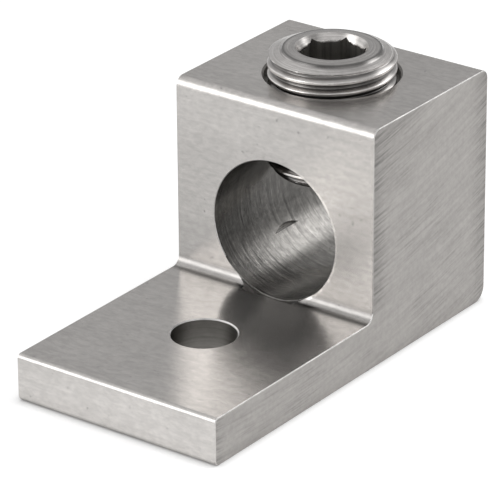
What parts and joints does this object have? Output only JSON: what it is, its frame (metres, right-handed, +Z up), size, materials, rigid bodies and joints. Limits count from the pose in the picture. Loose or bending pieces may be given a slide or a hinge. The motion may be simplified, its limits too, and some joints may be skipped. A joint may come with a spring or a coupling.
{
  "type": "mechanical lug",
  "caption": "L-shaped aluminium terminal lug with a stud hole in its tongue, a round wire port through its block and a hexagon-socket set screw above the port.",
  "frame": {"origin": "on the stud hole's axis, in the plane of the lug's base", "axes": "+Z up from the base along the stud hole's axis, +Y from the tongue towards the block along the wire port, +X across the lug"},
  "size_m": [0.0382, 0.0727, 0.0448],
  "materials": {
    "lug_body": "brushed extrusion with sawn sides",
    "set_screw": "turned, with a cut thread"
  },
  "bodies": {
    "lug_body": {"lug_body": "lug_body"},
    "set_screw": {"set_screw": "set_screw"}
  },
  "joints": [
    {"name": "set_screw_travel", "type": "slide", "parent": "lug_body", "child": "set_screw", "axis": [0, 0, 1], "range_m": [-0.01089, 0.00726]}
  ]
}
